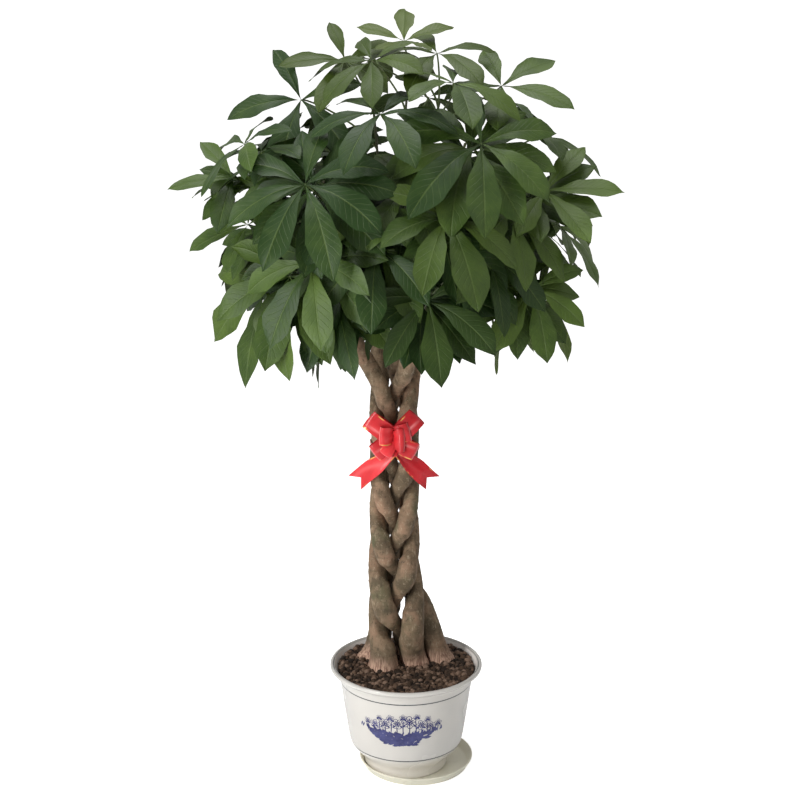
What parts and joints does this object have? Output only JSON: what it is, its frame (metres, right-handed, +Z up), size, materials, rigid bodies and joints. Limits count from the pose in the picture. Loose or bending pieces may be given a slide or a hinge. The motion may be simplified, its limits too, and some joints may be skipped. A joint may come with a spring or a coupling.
{
  "type": "potted money tree",
  "caption": "Money tree with braided trunks, a round crown of palmate leaves and a ribbon bow, in a round pot on its saucer.",
  "frame": {"origin": "middle of the pot's axis on the surface that the saucer stands on", "axes": "-Z is the way the saucer rests, +Z goes up the trunk and is the longest extent, -Y is the front with the print and the bow"},
  "size_m": [0.7913, 0.7148, 1.4628],
  "materials": {
    "saucer_plastic": "satin",
    "pot_plastic": "gloss",
    "substrate": "matte",
    "bark": "matte",
    "leaf": "satin",
    "ribbon": "satin"
  },
  "bodies": {
    "root": {"saucer": "saucer_plastic", "pot": "pot_plastic", "soil": "substrate", "trunk_1": "bark", "trunk_2": "bark", "trunk_3": "bark", "trunk_4": "bark", "trunk_5": "bark", "leafy_shoot_01": "leaf", "leafy_shoot_02": "leaf", "leafy_shoot_03": "leaf", "leafy_shoot_04": "leaf", "leafy_shoot_05": "leaf", "leafy_shoot_06": "leaf", "leafy_shoot_07": "leaf", "leafy_shoot_08": "leaf", "leafy_shoot_09": "leaf", "leafy_shoot_10": "leaf", "leafy_shoot_11": "leaf", "leafy_shoot_12": "leaf", "leafy_shoot_13": "leaf", "leafy_shoot_14": "leaf", "leafy_shoot_15": "leaf", "leafy_shoot_16": "leaf", "bow_tie": "ribbon", "bow": "ribbon"}
  },
  "joints": []
}
